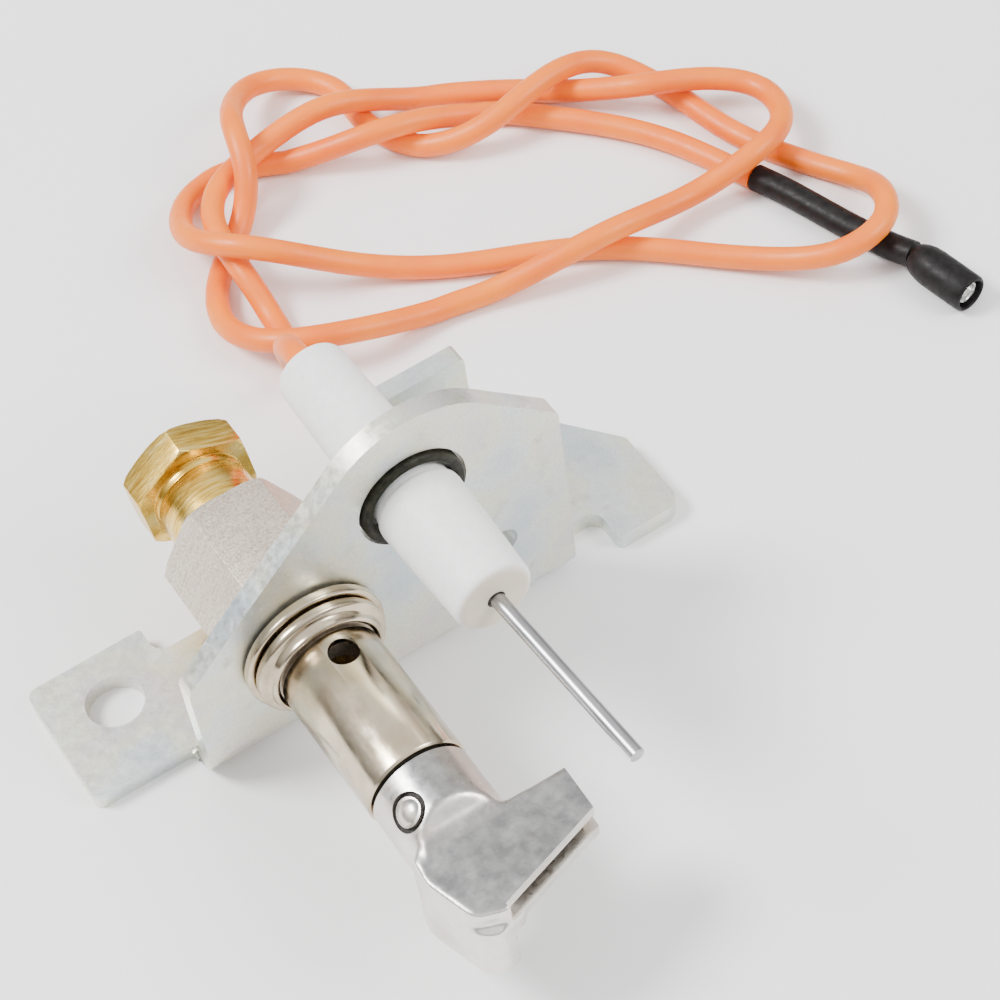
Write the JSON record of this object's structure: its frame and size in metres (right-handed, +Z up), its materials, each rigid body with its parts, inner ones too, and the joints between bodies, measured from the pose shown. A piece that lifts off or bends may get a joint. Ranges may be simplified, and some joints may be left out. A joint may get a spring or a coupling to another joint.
{
  "type": "gas pilot burner with ignition electrode",
  "caption": "Gas pilot burner on a bent bracket with a hooded flame port, a ceramic spark electrode beside it, a compression nut and a free spark lead ending in a push-on terminal.",
  "frame": {"origin": "middle of the footprint of the assembly without its lead, on the plane of the bracket's underside", "axes": "+X along the bracket towards the right ear, +Y from the hood back towards the compression nut, +Z up from the bracket's base"},
  "size_m": [0.1145, 0.1227, 0.0385],
  "materials": {
    "zinc_plate": "satin, zinc plated",
    "blasted_nickel": "blasted",
    "polished_nickel": "polished, warm",
    "stainless": "satin",
    "brass": "machined",
    "ceramic_white": "matt",
    "black_oxide": "black oxide",
    "rod_steel": "drawn",
    "tinned_copper": "stranded",
    "cement": "rough",
    "resin": "matt",
    "orange_silicone": "satin",
    "black_shrink": "satin",
    "socket_tin": "tinned"
  },
  "bodies": {
    "root": {"bracket": "zinc_plate", "burner_body": "blasted_nickel", "lock_washer": "zinc_plate", "retaining_collar": "polished_nickel", "burner_tube": "polished_nickel", "mixing_tube": "stainless", "hood": "stainless", "hood_stud": "stainless", "pilot_orifice": "brass", "ceramic_insulator": "ceramic_white", "insulator_clip": "black_oxide", "electrode_rod": "rod_steel", "crimp_sleeve": "tinned_copper", "front_cement": "cement", "rear_potting": "resin", "lead_conductor_inner": "tinned_copper", "lead_conductor_outer": "tinned_copper", "ignition_lead": "orange_silicone", "heat_shrink_sleeve": "black_shrink", "terminal_boot": "black_shrink", "socket_terminal": "socket_tin"},
    "ferrule": {"compression_ferrule": "brass"},
    "nut": {"compression_nut": "brass"}
  },
  "joints": [
    {"name": "ferrule_advance", "type": "slide", "parent": "root", "child": "ferrule", "axis": [0, -1, 0], "range_m": [-0.0011, 0.0067]},
    {"name": "nut_turn", "type": "hinge", "parent": "ferrule", "child": "nut", "pos_m": [-0.00975, 0.0293, 0.01472], "axis": [0, -1, 0], "range_deg": [-360, 2260]}
  ],
  "couplings": [
    {"joint": "ferrule_advance", "follows": "nut_turn", "m_per_rad": 0.0001684}
  ]
}
